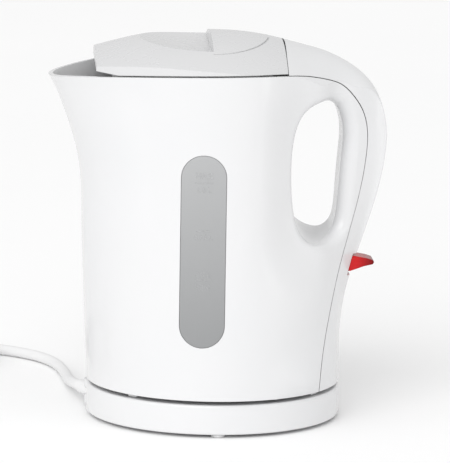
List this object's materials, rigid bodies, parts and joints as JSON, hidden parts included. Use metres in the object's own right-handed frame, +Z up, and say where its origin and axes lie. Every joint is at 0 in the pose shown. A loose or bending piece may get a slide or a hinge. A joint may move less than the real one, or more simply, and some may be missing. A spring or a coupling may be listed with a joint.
{
  "type": "electric kettle",
  "caption": "Cordless electric kettle with a hinged lid, a loop handle, a level window and a rocker switch, standing on a round corded power base.",
  "frame": {"origin": "on the table surface, on the axis of the round power base", "axes": "+Z up, +X towards the handle, -X towards the spout, so the level window faces -Y"},
  "size_m": [0.2862, 0.217, 0.1917],
  "materials": {
    "white_plastic": "moulded white plastic, glossy",
    "pale_plastic": "moulded pale grey plastic, satin",
    "frosted_window": "frosted translucent plastic with faint raised level marks",
    "red_plastic": "translucent red plastic",
    "silicone": "soft silicone seal",
    "foot_rubber": "soft rubber foot",
    "steel": "brushed stainless steel",
    "plated_steel": "zinc-plated steel",
    "tube_alloy": "plain aluminium",
    "contact_brass": "plain brass contact",
    "dark_plastic": "heat-proof dark plastic",
    "lamp_glass": "small glass lamp",
    "wire_jacket": "heat-proof wire jacket",
    "cord_white": "white flexible cord jacket",
    "tie_white": "white plastic tie",
    "pin_metal": "plated brass plug pin"
  },
  "bodies": {
    "base": {"base_shell": "white_plastic", "base_plate": "pale_plastic", "base_feet": "foot_rubber", "base_screws": "plated_steel", "base_post": "dark_plastic", "base_contacts": "contact_brass", "cord_sleeve": "cord_white", "cord_clamp": "pale_plastic", "supply_cord": "cord_white", "cord_coil": "cord_white", "coil_tie": "tie_white", "cord_tail": "cord_white", "plug_body": "cord_white", "plug_pins": "pin_metal"},
    "coupler": {"coupler_housing": "dark_plastic", "coupler_contacts": "contact_brass"},
    "lid": {"lid_top": "white_plastic", "lid_liner": "pale_plastic"},
    "lever": {"switch_lever": "red_plastic"},
    "kettle": {"jug_shell": "white_plastic", "handle_cover": "white_plastic", "water_window": "frosted_window", "window_seal": "silicone", "floor_plate": "steel", "floor_seal": "silicone", "heating_tube": "tube_alloy", "element_pins": "steel", "clamp_ring": "plated_steel", "clamp_screws": "plated_steel", "control_body": "dark_plastic", "dry_boil_discs": "steel", "bottom_cover": "white_plastic", "bottom_screws": "plated_steel", "switch_housing": "dark_plastic", "switch_pin": "steel", "steam_disc": "steel", "indicator_lamp": "lamp_glass", "steam_tube": "silicone", "switch_wires": "wire_jacket", "hinge_bracket": "plated_steel", "hinge_pin": "steel"}
  },
  "joints": [
    {"name": "lift_off", "type": "slide", "parent": "base", "child": "coupler", "axis": [0, 0, 1], "range_m": [0, 0.12]},
    {"name": "swivel", "type": "hinge", "parent": "coupler", "child": "kettle", "pos_m": [0, 0, 0.02], "axis": [0, 0, 1], "continuous": true},
    {"name": "lid_hinge", "type": "hinge", "parent": "kettle", "child": "lid", "pos_m": [0.0285, 0, 0.18211], "axis": [0, 1, 0], "range_deg": [0, 47]},
    {"name": "switch_rock", "type": "hinge", "parent": "kettle", "child": "lever", "pos_m": [0.0606, 0, 0.077], "axis": [0, 1, 0], "range_deg": [0, 12]}
  ]
}
